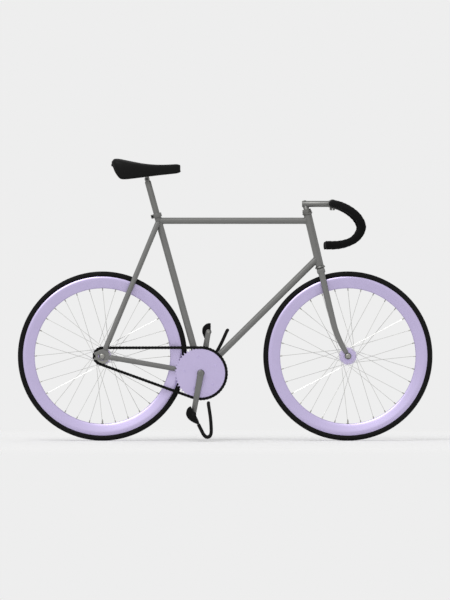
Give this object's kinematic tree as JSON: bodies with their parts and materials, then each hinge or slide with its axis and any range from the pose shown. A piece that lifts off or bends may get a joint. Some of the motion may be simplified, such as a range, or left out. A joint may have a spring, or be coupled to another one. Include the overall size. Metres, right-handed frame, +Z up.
{
  "type": "fixed gear track bicycle",
  "caption": "Fixed gear track bicycle with a slim steel frame, deep-rim spoked wheels, drop handlebar, quill stem, narrow saddle and platform pedals with toe clips.",
  "frame": {"origin": "on the ground, midway between the two axles and on the bicycle's middle plane", "axes": "+X forwards along the bicycle, +Y to the rider's left, +Z up; the chain is on the -Y side"},
  "size_m": [1.636, 0.4412, 1.1124],
  "materials": {
    "frame_paint": "semi-gloss mid grey paint on steel tube",
    "lavender_anodised": "satin lavender anodised alloy",
    "tyre": "matt black rubber",
    "bar_tape": "matt black padded tape",
    "saddle_cover": "black leather, slightly worn on top",
    "black_steel": "blackened steel, satin",
    "black_resin": "matt black moulded plastic",
    "grey_alloy": "grey anodised alloy, satin",
    "bright_steel": "plated steel"
  },
  "bodies": {
    "frame": {"head_tube": "frame_paint", "top_tube": "frame_paint", "down_tube": "frame_paint", "seat_tube": "frame_paint", "bottom_bracket_shell": "frame_paint", "chainstay_left": "frame_paint", "chainstay_right": "frame_paint", "seatstay_left": "frame_paint", "seatstay_right": "frame_paint", "track_end_left": "frame_paint", "track_end_right": "frame_paint", "seatstay_bridge": "frame_paint", "chainstay_bridge": "frame_paint", "seat_clamp": "grey_alloy", "headset_upper_cup": "grey_alloy", "headset_lower_cup": "grey_alloy", "bottom_bracket_cartridge": "black_steel", "rear_axle": "bright_steel", "rear_axle_nut_left": "bright_steel", "rear_axle_nut_right": "bright_steel", "chain": "black_steel"},
    "rear_wheel": {"rear_tyre": "tyre", "rear_rim": "lavender_anodised", "rear_hub_shell": "lavender_anodised", "rear_spokes_left": "bright_steel", "rear_spokes_right": "bright_steel", "rear_cog": "bright_steel", "rear_lockring": "bright_steel"},
    "crankset": {"bottom_bracket_spindle": "bright_steel", "crank_arm_right": "grey_alloy", "crank_arm_left": "grey_alloy", "chainring": "lavender_anodised", "pedal_spindle_right": "bright_steel", "pedal_spindle_left": "bright_steel"},
    "pedal_right": {"pedal_right": "black_steel", "toe_clip_right": "black_resin"},
    "pedal_left": {"pedal_left": "black_steel", "toe_clip_left": "black_resin"},
    "fork": {"steerer_tube": "bright_steel", "fork_crown": "frame_paint", "fork_blade_left": "frame_paint", "fork_blade_right": "frame_paint", "headset_locknut": "grey_alloy", "front_axle": "bright_steel", "front_axle_nut_left": "bright_steel", "front_axle_nut_right": "bright_steel"},
    "front_wheel": {"front_tyre": "tyre", "front_rim": "lavender_anodised", "front_hub_shell": "lavender_anodised", "front_spokes_left": "bright_steel", "front_spokes_right": "bright_steel"},
    "stem": {"stem": "grey_alloy"},
    "handlebar": {"handlebar": "black_steel", "bar_tape_left": "bar_tape", "bar_tape_right": "bar_tape"},
    "seatpost": {"seatpost": "grey_alloy"},
    "saddle_clamp": {"saddle_clamp": "grey_alloy"},
    "saddle": {"saddle": "saddle_cover", "saddle_rails": "bright_steel"}
  },
  "joints": [
    {"name": "rear_wheel_spin", "type": "hinge", "parent": "frame", "child": "rear_wheel", "pos_m": [-0.484, 0, 0.334], "axis": [0, 1, 0], "continuous": true, "deforming": ["chain"]},
    {"name": "crank_spin", "type": "hinge", "parent": "frame", "child": "crankset", "pos_m": [-0.09578, 0, 0.2665], "axis": [0, 1, 0], "continuous": true},
    {"name": "pedal_right_spin", "type": "hinge", "parent": "crankset", "child": "pedal_right", "pos_m": [-0.12529, -0.117, 0.10416], "axis": [0, 1, 0], "continuous": true},
    {"name": "pedal_left_spin", "type": "hinge", "parent": "crankset", "child": "pedal_left", "pos_m": [-0.06628, 0.117, 0.42884], "axis": [0, 1, 0], "continuous": true},
    {"name": "steering", "type": "hinge", "parent": "frame", "child": "fork", "pos_m": [0.37301, 0, 0.6905], "axis": [-0.23, 0, 0.9732], "range_deg": [-120, 120]},
    {"name": "front_wheel_spin", "type": "hinge", "parent": "fork", "child": "front_wheel", "pos_m": [0.484, 0, 0.334], "axis": [0, 1, 0], "continuous": true},
    {"name": "stem_height", "type": "slide", "parent": "fork", "child": "stem", "axis": [-0.23, 0, 0.9732], "range_m": [-0.005, 0.04]},
    {"name": "handlebar_tilt", "type": "hinge", "parent": "stem", "child": "handlebar", "pos_m": [0.42305, 0, 0.934], "axis": [0, 1, 0], "range_deg": [-15, 15]},
    {"name": "seatpost_height", "type": "slide", "parent": "frame", "child": "seatpost", "axis": [-0.2672, 0, 0.9636], "range_m": [-0.11, 0.03]},
    {"name": "saddle_tilt", "type": "hinge", "parent": "seatpost", "child": "saddle_clamp", "pos_m": [-0.30791, 0, 1.03142], "axis": [0, 1, 0], "range_deg": [-10, 10]},
    {"name": "saddle_slide", "type": "slide", "parent": "saddle_clamp", "child": "saddle", "axis": [1, 0, 0], "range_m": [-0.012, 0.012]}
  ],
  "couplings": [
    {"joint": "crank_spin", "follows": "rear_wheel_spin", "ratio": 0.32}
  ]
}
